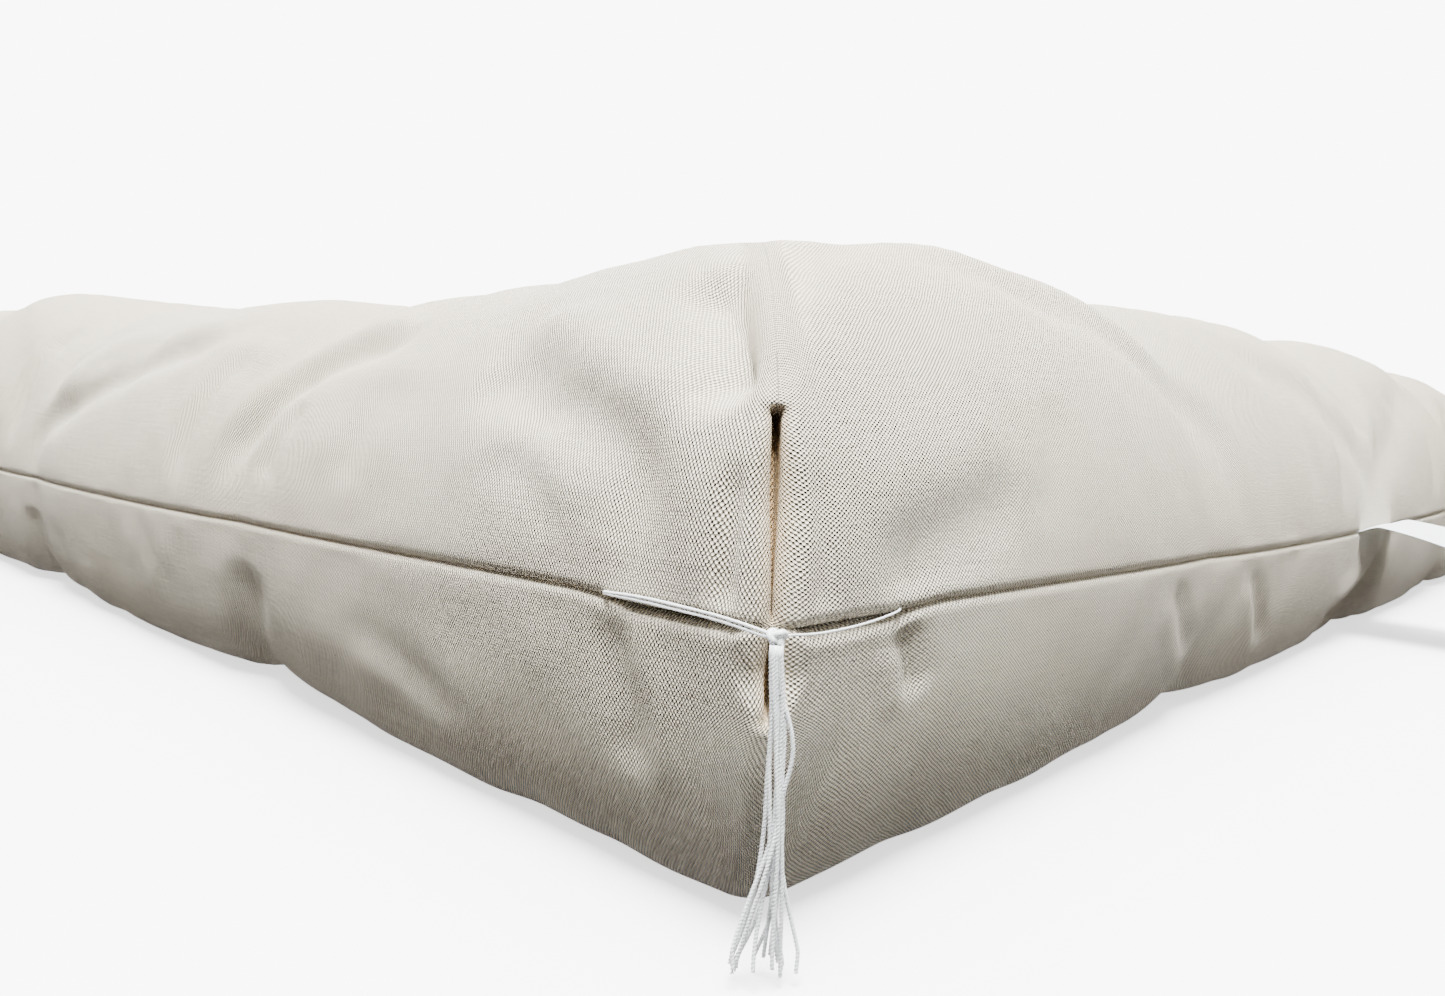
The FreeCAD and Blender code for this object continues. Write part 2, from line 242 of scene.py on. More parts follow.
def panel_mesh(up, height, shoulder, slit_length, gap, growth):
    """Points, quads and cloth facts of a panel, before its creases.

    The cloth facts are, for each point: the side it belongs to, its place along the side, its distance up
    the cloth from the seam, how far into the tuck it is, and how much cloth is turned in before it."""
    s, inset, rise, arc = edge_profile(height, shoulder)
    along = side_positions()
    rings = []
    for k in range(len(s)):
        path, tuck = corner_path(s[k], slit_length, gap, growth)
        path = path * (1 - smooth(arc, s[-1], s[k]))
        rings.append(ring_round(HALF - inset[k], path, tuck, along))
    count = len(rings[0][0])
    flat, side, place, tuck, extra = [np.concatenate(part) for part in zip(*rings)]
    points = np.column_stack([flat, np.repeat(rise, count)])
    index = np.arange(count)
    following = (index + 1) % count
    quads = []
    for k in range(len(s) - 1):
        a, b = k * count, (k + 1) * count
        quads.append(np.stack([a + index, a + following, b + following, b + index], axis=1))
    per_side = count // 4
    last = (len(s) - 1) * count
    inner_half = HALF - inset[-1]
    gx, gy, cells = inner_grid(along, inner_half, len(points), last, per_side)
    points = np.concatenate([points, np.column_stack([gx, gy, np.full(len(gx), height)])])
    quads = np.concatenate(quads + [cells])
    # Distances for the inner grid carry on from the nearest side.
    on_x = np.abs(gx) > np.abs(gy)
    grid_side = np.where(on_x, np.where(gx > 0, 1, 3), np.where(gy < 0, 0, 2))
    grid_place = np.select([grid_side == 0, grid_side == 1, grid_side == 2], [gx, gy, -gx], -gy)
    grid_depth = s[-1] + inner_half - np.maximum(np.abs(gx), np.abs(gy))
    facts = {
        "side": np.concatenate([side, grid_side]),
        "along": np.concatenate([place, grid_place]),
        "s": np.concatenate([np.repeat(s, count), grid_depth]),
        "tuck": np.concatenate([tuck, np.zeros(len(gx))]),
        "extra": np.concatenate([extra, np.zeros(len(gx))]),
    }
    # Corner points of the last ring lie on one grid corner each, so they are merged into it.
    merge = np.arange(len(points))
    for i in range(4):
        end = last + i * per_side + len(along) - 1
        start = last + ((i + 1) % 4) * per_side
        merge[end + 1 : last + (i + 1) * per_side] = end
        merge[start] = end
    used, quads = np.unique(merge[quads], return_inverse=True)
    quads = quads.reshape(-1, 4)
    facts = {key: values[used] for key, values in facts.items()}
    facts["arc"] = arc
    if up < 0:
        quads = quads[:, ::-1]
    return points[used], quads, facts


# ------ lobes, valleys and creases

TUFT_PIT = 24 * MM          # radius of the hollow round a tuft
VALLEY_SHARE, PIT_SHARE = 0.09, 0.56    # share of the height that a valley takes away, and a tuft


def from_nearest(x, places):
    """Distance to the nearest of some places."""
    return np.min([np.abs(x - p) for p in places], axis=0)


def valley(t, sharp=13 * MM, wide=42 * MM):
    """How deep a valley between two lobes is, from 1 at its line to 0 far away."""
    return 0.45 * np.exp(-((t / sharp) ** 1.5)) + 0.55 * np.exp(-((t / wide) ** 2))


def relief(x, y):
    """Share of a panel's height that its valleys and tufts take away."""
    across, along = valley(from_nearest(x, ROWS)), valley(from_nearest(y, ROWS))
    lines = across + along - across * along
    r = np.min([np.hypot(x - tx, y - ty) for tx, ty in TUFTS], axis=0)
    pit = np.exp(-((r / TUFT_PIT) ** 1.25))
    return VALLEY_SHARE * lines + PIT_SHARE * pit


# How much each side's lobes stand above or below the even height, in millimetres, by the place along it.
SIDE_RISE = [
    [(0, 0), (60, 1), (80, -2), (100, -4.5), (130, -4.5), (170, -2.5), (220, -1.5), (280, -3.5), (316, 0),
     (394, 6), (456, 11), (578, 9), (700, 0)],
    [(0, 0), (61, 4), (84, 6.5), (101, 7.5), (143, 8), (198, 7), (245, 6.5), (290, 9), (397, 12), (449, 12),
     (630, 7), (700, 0)],
    [(0, 0), (60, 3), (110, 5), (172, 2), (260, 8), (350, 4), (440, 9), (528, 4), (600, 5), (700, 0)],
    [(0, 0), (70, 2), (120, 4), (172, 1), (250, 6), (350, 3), (430, 8), (528, 5), (620, 3), (700, 0)],
]
MIDDLE_RISE = 9.0


def crown(x, y):
    """How much the top stands above or below its even height, in metres."""
    total, weights, nearest = 0.0, 0.0, 1.0
    for number, ((ex, ey), (nx, ny)) in enumerate(SIDES):
        depth = HALF - (nx * x + ny * y)
        # The first side is listed back from its end, and the others on from their start.
        along = (ex * x + ey * y) / MM
        place = 350 - along if number == 0 else 350 + along
        rise = np.interp(place, *zip(*SIDE_RISE[number]))
        weight = np.exp(-depth / (16 * MM)) + 1e-12
        total, weights = total + weight * rise, weights + weight
        nearest = np.minimum(nearest, depth)
    middle = smooth(70 * MM, 170 * MM, nearest)
    out = total / weights * (1 - middle) + MIDDLE_RISE * middle
    return (out + 1.2 * lattice(3, x / 0.11 + 20, y / 0.11 + 20)) * MM


def seam_height(along):
    """The seam sags a little towards the middle of each side, and the ties draw it down at the corners."""
    drawn = 1 - smooth(*TIE_REACH, HALF - np.abs(along))
    return SEAM - SEAM_SAG * np.cos(np.clip(along / HALF, -1, 1) * math.pi / 2) ** 1.2 - TIE_DROP * drawn


def side_pull(along):
    """The sides pull in between the corners, most where a row of tufts meets them."""
    bow = SIDE_BOW * np.cos(np.clip(along / HALF, -1, 1) * math.pi / 2)
    return bow + ROW_PULL * valley(from_nearest(along, ROWS), 8 * MM, 30 * MM)


CREASE_REACH = 40 * MM      # beyond this distance a crease is nothing


def polyline_distance(u, v, points):
    """Distance from each (u, v) to a polyline, the side of it, and the share along it."""
    best = np.full(len(u), 1e9)
    side, share = np.zeros(len(u)), np.zeros(len(u))
    points = np.array(points, float)
    lengths = np.linalg.norm(np.diff(points, axis=0), axis=1)
    starts = np.concatenate([[0], np.cumsum(lengths)])
    for i, (p, q) in enumerate(zip(points, points[1:])):
        d = q - p
        t = np.clip(((u - p[0]) * d[0] + (v - p[1]) * d[1]) / (d @ d), 0, 1)
        du, dv = u - p[0] - t * d[0], v - p[1] - t * d[1]
        r = np.hypot(du, dv)
        near = r < best
        best = np.where(near, r, best)
        side = np.where(near, np.sign(d[0] * dv - d[1] * du), side)
        share = np.where(near, (starts[i] + t * lengths[i]) / starts[-1], share)
    return best, side, share


def crease(u, v, route, depth, width, ridge):
    """A soft furrow along a route on the unrolled cloth, in millimetres, with a ridge on its left. It fades
    over the first and the last quarter."""
    route = np.array(spline(route)) * MM
    low, high = route.min(axis=0) - CREASE_REACH, route.max(axis=0) + CREASE_REACH
    near = (u > low[0]) & (u < high[0]) & (v > low[1]) & (v < high[1])
    out = np.zeros(len(u))
    r, side, share = polyline_distance(u[near], v[near], route)
    ends = smooth(0, 0.25, share) * smooth(0, 0.25, 1 - share)
    w = width * MM
    furrow = -depth * MM * np.exp(-((r / w) ** 2))
    signed = r * side
    lip = ridge * MM * np.exp(-(((signed - 1.6 * w) / w) ** 2))
    out[near] = (furrow + lip) * ends
    return out


def spline(points, steps=6):
    """A smooth line through a few points."""
    p = np.array(points, float)
    if len(p) < 3:
        return p
    padded = np.concatenate([[2 * p[0] - p[1]], p, [2 * p[-1] - p[-2]]])
    out = []
    for i in range(len(p) - 1):
        a, b, c, d = padded[i : i + 4]
        for t in np.linspace(0, 1, steps, endpoint=False):
            out.append(0.5 * (2 * b + (c - a) * t + (2 * a - 5 * b + 4 * c - d) * t * t
                              + (3 * b - a - 3 * c + d) * t ** 3))
    out.append(p[-1])
    return np.array(out)


# Creases near a corner, on the unrolled cloth: the side it is on (0 left of the corner and 1 right of it,
# seen from outside), a route of (distance from the corner, distance from the seam), depth, width and ridge,
# all in millimetres.
TOP_CREASES = [
    (0, [(33, 1), (28, 9), (33, 21), (46, 27), (62, 34), (78, 44), (79, 58)], 2.5, 6.5, 1.2),
    (0, [(52, 22), (66, 30), (84, 36)], 1.6, 5.5, 0.5),
    (0, [(14, 28), (19, 38), (28, 50), (40, 62)], 5.0, 7.0, 1.4),
    (0, [(10, -4), (10, 12), (11, 24)], 1.5, 2.2, 0.0),
    (1, [(11, -4), (11, 12), (12, 24)], 0.6, 2.4, 0.0),
    (0, [(46, 5), (52, 12), (60, 17), (72, 20)], 0.9, 4.0, 0.4),
    (0, [(122, 62), (126, 52), (150, 44), (166, 34), (177, 22), (184, 11), (187, 3)], 2.6, 5.5, 1.3),
    (0, [(150, 32), (158, 22), (163, 10)], 1.3, 5.0, 0.6),
    (0, [(196, 50), (206, 36), (212, 18), (214, 5)], 1.5, 5.5, 0.6),
    (0, [(110, 40), (118, 25), (122, 10)], 0.9, 6.0, 0.4),
    (0, [(222, 66), (228, 50), (262, 44), (306, 30), (340, 19), (360, 4)], 2.8, 6.0, 1.5),
    (0, [(262, 60), (282, 48), (318, 36), (334, 12)], 1.4, 5.0, 0.7),
    (0, [(372, 60), (378, 40), (382, 20), (386, 5)], 1.9, 6.0, 0.8),
    (1, [(20, 5), (34, 8), (50, 11), (74, 16)], 1.5, 7.0, 0.4),
    (1, [(12, 36), (17, 46), (27, 56), (52, 72), (80, 80)], 1.4, 5.5, 0.9),
    (1, [(62, 80), (100, 60), (134, 52), (162, 42), (186, 26), (192, 3)], 1.5, 6.0, 0.8),
    (1, [(118, 66), (150, 50), (168, 30), (172, 8)], 0.8, 5.0, 0.4),
    (1, [(214, 66), (250, 50), (296, 38), (338, 22), (366, 3)], 1.2, 7.0, 0.7),
    (1, [(252, 46), (268, 30), (274, 8)], 0.6, 6.0, 0.3),
    (1, [(74, 8), (84, 20), (90, 34)], 0.6, 5.5, 0.3),
]
BOTTOM_CREASES = [
    (0, [(33, 1), (31, 9), (28, 18), (29, 28)], 1.0, 4.0, 0.4),
    (0, [(184, 50), (176, 36), (170, 22), (168, 10)], 2.4, 9.0, 0.4),
    (0, [(72, 30), (96, 22), (118, 16)], 0.7, 5.0, 0.3),
    (0, [(360, 48), (357, 30), (354, 12)], 1.5, 9.0, 0.4),
    (1, [(29, 1), (33, 7), (36, 15)], 1.5, 3.0, 0.5),
    (1, [(146, 3), (156, 16), (168, 30)], 1.1, 4.0, 0.5),
    (1, [(204, 3), (216, 18), (230, 34)], 1.2, 4.0, 0.5),
]
# The deep fold under the label, on the right side only.
LABEL_FOLD = ([(383, 4), (372, 14), (352, 30), (300, 40)], 5.0, 7.0, 1.6)


def corner_folds(creases, facts, fold_line):
    """The creases at all four corners, the same in kind and a little different at each. They die out where
    two sides meet above a slit."""
    side, along, s = facts["side"], facts["along"], facts["s"]
    out = np.zeros(len(s))
    rng = np.random.default_rng(11)
    for number in range(4):
        softer = 1.0 if number == 0 else 0.72
        for which, route, depth, width, ridge in creases:
            change = 0.0 if number == 0 else rng.uniform(-1, 1)
            mine = side == (number + which) % 4
            place = (HALF - along if which == 0 else HALF + along)[mine]
            moved = [(u * (1 + 0.07 * change), v * (1 + 0.1 * change)) for u, v in route]
            deep = depth * (1 + 0.3 * change) * softer
            out[mine] += crease(place, s[mine], moved, deep, width / softer, ridge * softer)
    return out * smooth(0.5 * MM, 8 * MM, fold_line)


def wrinkles(facts, x, y):
    """The small unevenness of handled canvas: ripples square to the seam, and puckers round the tufts."""
    side, along, s = facts["side"], facts["along"], facts["s"]
    out = np.zeros(len(s))
    for number in range(4):
        mine = side == number
        a, d = along[mine] / MM, s[mine] / MM
        ripple = 0.55 * lattice(20 + number, a / 17 + 30, d / 60) * smooth(4, 30, d)
        pucker = 0.16 * lattice(30 + number, a / 5.5 + 70, d / 30) * (1 - smooth(3, 26, d))
        fold_line = np.abs(np.abs(x[mine]) - np.abs(y[mine]))
        out[mine] = (ripple + pucker) * MM * smooth(2 * MM, 30 * MM, fold_line)
    out += 0.28 * MM * lattice(41, x / (13 * MM) + 40, y / (13 * MM) + s / (13 * MM) + 40)
    for number, (tx, ty) in enumerate(TUFTS):
        r, turn = np.hypot(x - tx, y - ty), np.arctan2(y - ty, x - tx)
        lines = 0.6 * np.cos(6 * turn + number) + 0.4 * np.cos(11 * turn + 2 * number)
        out += 1.5 * MM * lines * smooth(2 * MM, 14 * MM, r) * np.exp(-r / (30 * MM))
    return out


def cloth_coordinates(x, y, facts, half_flat, slit_length):
    """Where each point lies on the unrolled cloth, in metres from the middle of the panel."""
    side, s = facts["side"], facts["s"]
    unrolled = half_flat - s
    on_x = (side % 2 == 1).astype(float)
    excess = np.maximum(0, unrolled - np.maximum(np.abs(x), np.abs(y)))
    band = 0.7 * excess + 4 * MM
    across = np.abs(x) - np.abs(y)
    shared = smooth(-1, 1, across / band)
    open_part = 1 - smooth(slit_length - 1 * MM, slit_length + 12 * MM, s)
    weight = on_x * open_part + shared * (1 - open_part)
    turned_in = facts["extra"] * open_part
    u = np.sign(x) * ((np.abs(x) + turned_in) * (1 - weight) + unrolled * weight)
    v = np.sign(y) * ((np.abs(y) + turned_in) * weight + unrolled * (1 - weight))
    return np.column_stack([u, v])


def shape_panel(up, height, shoulder, slit_length, gap, growth):
    """A panel's final points with seam, valleys, tufts and creases, its quads and its cloth coordinates."""
    points, quads, facts = panel_mesh(up, height, shoulder, slit_length, gap, growth)
    side, along, s = facts["side"], facts["along"], facts["s"]
    x, y, rise = points[:, 0].copy(), points[:, 1].copy(), points[:, 2].copy()
    n = np.array([SIDES[k][1] for k in range(4)], float)[side]
    # Sides pull in; the pull fades across the panel.
    inward = side_pull(along) * (1 - smooth(0, 150 * MM, s))
    from_corner = HALF - np.abs(along)
    # Between the ties' entries and the corner the groove is deeper, most of all in the lower panel.
    drawn = (1 - smooth(27 * MM, 35 * MM, from_corner)) * smooth(5 * MM, 9 * MM, from_corner)
    drawn = drawn * (0.25 if up > 0 else 1.0)
    groove = (SEAM_GROOVE + TIE_GROOVE * drawn) * np.clip(1 - s / ((1.3 + 1.5 * drawn) * MM), 0, 1) ** 2
    groove = groove * smooth(0, 6 * MM, from_corner)
    bx, by = x - n[:, 0] * (inward + groove), y - n[:, 1] * (inward + groove)
    # The nearest side's seam height, blended across the panel to the mean.
    inner = smooth(0, 120 * MM, s)
    base = seam_height(along) * (1 - inner) + (SEAM - MEAN_SAG) * inner
    full = height + (SEAM - base) * up
    if up > 0:
        full = full + crown(x, y)
    share = rise / height * (1 - relief(x, y))
    shaped = np.column_stack([bx, by, base + up * full * share])
    from_diagonal = np.abs(np.abs(x) - np.abs(y))
    creases = TOP_CREASES if up > 0 else BOTTOM_CREASES
    out = corner_folds(creases, facts, from_diagonal) + wrinkles(facts, x, y)
    if up < 0:
        right_side = side == 1
        out[right_side] += crease(HALF + along[right_side], s[right_side], *LABEL_FOLD)
    normals = normals_of(shaped, quads)
    # Inside a slit and at the seam the two cloths stay together.
    keep = smooth(0, 5 * MM, s) * np.where(s < slit_length + 2 * MM, smooth(3 * MM, 8 * MM, from_diagonal), 1)
    shaped = shaped + normals * (out * keep)[:, None]
    shaped[:, 2] = np.maximum(shaped[:, 2], FLOOR_CLEARANCE)
    uv = cloth_coordinates(x, y, facts, HALF - shoulder + facts["arc"], slit_length)
    return shaped, quads, uv, facts["tuck"]


def slit_gap_above(s):
    """Half of the slit's width in the top panel."""
    return SLIT_PINCH + 0.62 * MM * smooth(0, 22 * MM, s)


def slit_gap_below(s):
    """Half of the slit's width in the bottom panel."""
    return SLIT_PINCH + 0.5 * MM * smooth(0, 9 * MM, s)


def top_shape():
    """The top panel. Above its slits the corners grow rounder."""
    return shape_panel(1, TOP - SEAM, TOP_SHOULDER, TOP_SLIT, slit_gap_above, 0.28)


def bottom_shape():
    """The bottom panel, whose corners stay sharper."""
    return shape_panel(-1, SEAM, BOTTOM_SHOULDER, BOTTOM_SLIT, slit_gap_below, 0.03)


# ------ materials

class Nodes:
    """A material's node tree, with short ways to add and join nodes."""

    def __init__(self, name):
        self.material = bpy.data.materials.new(name)
        self.material.use_nodes = True
        self.tree = self.material.node_tree
        self.tree.nodes.clear()

    def add(self, kind, settings=(), **inputs):
        node = self.tree.nodes.new("ShaderNode" + kind)
        for key, value in dict(settings).items():
            setattr(node, key, value)
        for key, value in inputs.items():
            index = int(key[2:]) if key.startswith("in") and key[2:].isdigit() else key.replace("_", " ")
            socket = node.inputs[index]
            if isinstance(value, bpy.types.NodeSocket):
                self.tree.links.new(value, socket)
            else:
                socket.default_value = value
        return node

    def math(self, operation, a, b=0.0, c=0.0):
        return self.add("Math", {"operation": operation}, in0=a, in1=b, in2=c).outputs[0]

    def mix(self, share, a, b, blend="MIX"):
        node = self.add("Mix", {"data_type": "RGBA", "blend_type": blend}, in0=share, in6=a, in7=b)
        return node.outputs[2]

    def noise(self, vector, scale, detail=2.0, rough=0.5):
        return self.add("TexNoise", Vector=vector, Scale=scale, Detail=detail, Roughness=rough).outputs["Fac"]

    def surface(self, color, roughness, normal=None, **more):
        shader = self.add("BsdfPrincipled", Base_Color=color, Roughness=roughness, **more)
        if normal is not None:
            self.tree.links.new(normal, shader.inputs["Normal"])
        out = self.add("OutputMaterial")
        self.tree.links.new(shader.outputs[0], out.inputs["Surface"])
        return self.material


THREAD_ACROSS, THREAD_UP = 0.34 * MM, 0.50 * MM   # spacing of the weave's two sets of threads
WEAVE_RELIEF = 0.6 * MM
# The third colour is painted shade, warmed like bounce light, for deep in the tucks.
CREAM, PALE_CREAM, TUCK_PAINTED_SHADE = (0.97, 0.85, 0.62, 1), (0.98, 0.905, 0.73, 1), (0.60, 0.40, 0.18, 1)
# Seed flecks: spacing, radius as a share of it, share of the places that have one, and colour.
FLECKS = [(11 * MM, 0.015, 0.75, (0.20, 0.12, 0.06, 1)), (6 * MM, 0.022, 0.35, (0.46, 0.36, 0.24, 1))]


def canvas_material():
    """Unbleached plain-weave cotton: a lattice of thread crossings, uneven yarn, seed flecks."""
    t = Nodes("canvas_weave")
    cloth = t.add("UVMap", {"uv_map": "cloth"}).outputs[0]
    place = t.add("TexCoord").outputs["Object"]
    parts = t.add("SeparateXYZ", Vector=cloth)
    u, v = parts.outputs[0], parts.outputs[1]
    drift = t.math("SUBTRACT", t.noise(place, 140.0, 3.0), 0.5)
    jitter = t.math("SUBTRACT", t.noise(place, 1300.0, 1.0), 0.5)
    u2 = t.math("MULTIPLY_ADD", drift, 0.9 * MM, t.math("MULTIPLY_ADD", jitter, 0.22 * MM, u))
    drift_v = t.math("SUBTRACT", t.noise(place, 110.0, 3.0, 0.6), 0.5)
    v2 = t.math("MULTIPLY_ADD", drift_v, 0.9 * MM, t.math("MULTIPLY_ADD", jitter, -0.22 * MM, v))
    cos_u = t.math("COSINE", t.math("MULTIPLY", u2, math.pi / THREAD_ACROSS))
    cos_v = t.math("COSINE", t.math("MULTIPLY", v2, math.pi / THREAD_UP))
    crossing = t.math("MULTIPLY_ADD", t.math("MULTIPLY", cos_u, cos_v), 0.5, 0.5)
    # Yarn is thick and thin along its length, and each yarn differs from the next.
    stretch_u = t.add("CombineXYZ", X=t.math("MULTIPLY", u2, 1600.0), Y=t.math("MULTIPLY", v2, 60.0)).outputs[0]
    stretch_v = t.add("CombineXYZ", X=t.math("MULTIPLY", u2, 60.0), Y=t.math("MULTIPLY", v2, 1200.0)).outputs[0]
    slub = t.math("ADD", t.noise(stretch_u, 1.0, 1.0), t.noise(stretch_v, 1.0, 1.0))
    slub = t.math("MULTIPLY", slub, 0.5)
    height = t.math("MULTIPLY", crossing, t.math("MULTIPLY_ADD", slub, 0.9, 0.45))
    bump = t.add("Bump", Height=height, Distance=WEAVE_RELIEF, Strength=1.0)
    soft = t.noise(place, 9.0, 3.0)
    color = t.mix(t.math("MULTIPLY_ADD", soft, 1.6, -0.3), CREAM, PALE_CREAM)
    # Painted shade: the colour darkens in the gaps between the thread crossings, and thicker yarn is a little
    # lighter.
    shade = t.math("MULTIPLY_ADD", crossing, 1.15, t.math("MULTIPLY_ADD", slub, 0.30, 0.04))
    gray = t.add("CombineColor", in0=shade, in1=shade, in2=shade).outputs[0]
    color = t.mix(1.0, color, gray, "MULTIPLY")
    for spacing, reach, share, tint in FLECKS:
        spots = t.add("TexVoronoi", {"voronoi_dimensions": "2D"}, Vector=cloth, Scale=1 / spacing)
        near = t.math("LESS_THAN", spots.outputs["Distance"], reach)
        chosen = t.add("SeparateColor", in0=spots.outputs["Color"]).outputs[0]
        here = t.math("MULTIPLY", near, t.math("LESS_THAN", chosen, share))
        color = t.mix(t.math("MULTIPLY", here, 0.85), color, tint)
    # Painted shade: deep in the tucks the colour is mixed towards a warm brown that stands for the shade and
    # bounce light there.
    tuck = t.add("Attribute", {"attribute_name": "tuck"}).outputs["Fac"]
    color = t.mix(t.math("POWER", tuck, 0.6), color, TUCK_PAINTED_SHADE)
    return t.surface(color, 0.92, bump.outputs[0], Sheen_Weight=0.12, Sheen_Roughness=0.6)


def thread_material(name, color, roughness, relief, scale, sheen=0.1):
    """Twisted thread, with fibre noise in its colour and its bump."""
    t = Nodes(name)
    place = t.add("TexCoord").outputs["Object"]
    fibre = t.noise(place, scale, 3.0, 0.6)
    shade = t.math("MULTIPLY_ADD", fibre, 0.16, 0.92)
    gray = t.add("CombineColor", in0=shade, in1=shade, in2=shade).outputs[0]
    bump = t.add("Bump", Height=fibre, Distance=relief, Strength=0.8)
    color = t.mix(1.0, color, gray, "MULTIPLY")
    return t.surface(color, roughness, bump.outputs[0], Sheen_Weight=sheen)


def batting_material():
    """Loose cotton batting."""
    t = Nodes("batting_fluff")
    place = t.add("TexCoord").outputs["Object"]
    tufty = t.noise(place, 160.0, 6.0, 0.65)
    color = t.mix(tufty, (0.80, 0.77, 0.70, 1), (0.93, 0.91, 0.87, 1))
    bump = t.add("Bump", Height=tufty, Distance=1.2 * MM, Strength=1.0)
    return t.surface(color, 1.0, bump.outputs[0], Sheen_Weight=0.3)


def label_material():
    """Fine woven tape, a little glossier than the canvas."""
    t = Nodes("label_weave")
    cloth = t.add("UVMap", {"uv_map": "cloth"}).outputs[0]
    parts = t.add("SeparateXYZ", Vector=cloth)
    ribs = t.math("SINE", t.math("MULTIPLY", parts.outputs[0], math.pi / (0.16 * MM)))
    rows = t.math("SINE", t.math("MULTIPLY", parts.outputs[1], math.pi / (0.30 * MM)))
    weave = t.math("MULTIPLY_ADD", t.math("MULTIPLY", ribs, rows), 0.5, 0.5)
    bump = t.add("Bump", Height=weave, Distance=0.05 * MM, Strength=0.7)
    color = t.mix(weave, (0.80, 0.83, 0.88, 1), (0.87, 0.90, 0.94, 1))
    return t.surface(color, 0.55, bump.outputs[0], Sheen_Weight=0.1)


canvas = canvas_material()
tassel_thread = thread_material("tassel_silk", (0.90, 0.93, 0.945, 1), 0.4, 0.03 * MM, 2600.0)
sewing_thread = thread_material("sewing_cotton", (0.80, 0.75, 0.66, 1), 0.7, 0.04 * MM, 2200.0)
tuft_thread = thread_material("tuft_cotton", (0.82, 0.77, 0.68, 1), 0.7, 0.05 * MM, 1500.0)
batting = batting_material()
label_tape = label_material()
MATERIALS = {
    "canvas": canvas, "tassel_thread": tassel_thread, "sewing_thread": sewing_thread,
    "tuft_thread": tuft_thread, "cotton_batting": batting, "label_tape": label_tape,
}


def finish_piece(thing, material_slot, body, *nodes):
    """Gives a piece its material and its body, and hides the CAD nodes that it stands for."""
    thing.data.materials.clear()
    thing.data.materials.append(MATERIALS[material_slot])
    if body:
        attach(thing, body)
    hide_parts(*nodes)
    return thing


# ------ cover

def cover(name, shape, node):
    """A panel of canvas as a piece, with its cloth coordinates and its tucks."""
    points, quads, uv, tuck = shape
    thing = mesh_object(name, points, quads, uv)
    # The tuck attribute holds how deep in a slit each point is, which sets the painted shade there.
    attribute = thing.data.attributes.new("tuck", "FLOAT", "POINT")
    attribute.data.foreach_set("value", tuck.astype(np.float32))
    finish_piece(thing, "canvas", "cushion", node)
    return thing


top, bottom = top_shape(), bottom_shape()
top_cover = cover("top_cover", top, "top_panel")
bottom_cover = cover("bottom_cover", bottom, "bottom_panel")


# ------ threads

def strand(line, radius, around=8, twist=0.0, ply=0.0, phase=0.0):
    """Points and faces of a closed thread along a line; ply sets how deep the groove between two plies is."""
    line = np.asarray(line, float)
    tangent = np.gradient(line, axis=0)
    tangent /= np.maximum(np.linalg.norm(tangent, axis=1), 1e-12)[:, None]
    length = np.concatenate([[0], np.cumsum(np.linalg.norm(np.diff(line, axis=0), axis=1))])
    first = np.array([1.0, 0.3, 0.1])
    across = np.zeros_like(line)
    for i, t in enumerate(tangent):
        first = first - t * (first @ t)
        first /= np.linalg.norm(first)
        across[i] = first
    other = np.cross(tangent, across)
    turn = np.linspace(0, 2 * math.pi, around, endpoint=False)
    spin = length[:, None] * twist + phase
    shape = radius * (1 - ply * (1 - np.abs(np.cos(turn[None, :] - spin))))
    ring = across[:, None] * np.cos(turn)[None, :, None] + other[:, None] * np.sin(turn)[None, :, None]
    points = (line[:, None] + ring * shape[:, :, None]).reshape(-1, 3)
    count = len(line)
    i, j = np.meshgrid(np.arange(count - 1), np.arange(around), indexing="ij")
    a, b = i * around + j, i * around + (j + 1) % around
    faces = np.stack([a, b, b + around, a + around], axis=-1).reshape(-1, 4).tolist()
    faces.append(list(range(around))[::-1])
    faces.append([(count - 1) * around + k for k in range(around)])
    return points, faces


def joined(name, parts):
    """One mesh object from several sets of points and faces."""
    mesh = bpy.data.meshes.new(name)
    points, faces, base = [], [], 0
    for part_points, part_faces in parts:
        points.append(part_points)
        faces += [[base + k for k in face] for face in part_faces]
        base += len(part_points)
    mesh.from_pydata(np.concatenate(points).tolist(), [], faces)
    mesh.polygons.foreach_set("use_smooth", np.ones(len(mesh.polygons), bool))
    mesh.update()
    thing = bpy.data.objects.new(name, mesh)
    bpy.context.scene.collection.objects.link(thing)
    return thing


def nurbs_line(points):
    """The points of the curve that a route's control points make, read from a curve without thickness."""
    data = bpy.data.curves.new("route", "CURVE")
    data.dimensions = "3D"
    data.resolution_u = 40
    spline_data = data.splines.new("NURBS")
    spline_data.points.add(len(points) - 1)
    for point, place in zip(spline_data.points, points):
        point.co = (*place, 1)
    spline_data.order_u = 3
    spline_data.use_endpoint_u = True
    holder = bpy.data.objects.new("route", data)
    bpy.context.scene.collection.objects.link(holder)
    mesh = bpy.data.meshes.new_from_object(holder)
    line = np.array([tuple(v.co) for v in mesh.vertices])
    bpy.data.objects.remove(holder)
    bpy.data.meshes.remove(mesh)
    bpy.data.curves.remove(data)
    return line


def along_line(line, shares):
    """Points at shares of a line's length."""
    steps = np.linalg.norm(np.diff(line, axis=0), axis=1)
    places = np.concatenate([[0], np.cumsum(steps)]) / steps.sum()
    return np.column_stack([np.interp(shares, places, line[:, i]) for i in range(3)])


KNOT_RADIUS, KNOT_OUT, KNOT_HEIGHT = 1.7 * MM, 2.4 * MM, 44.4 * MM
TASSEL_CLEARANCE, TASSEL_DIAMETER = 0.35 * MM, 4.6 * MM
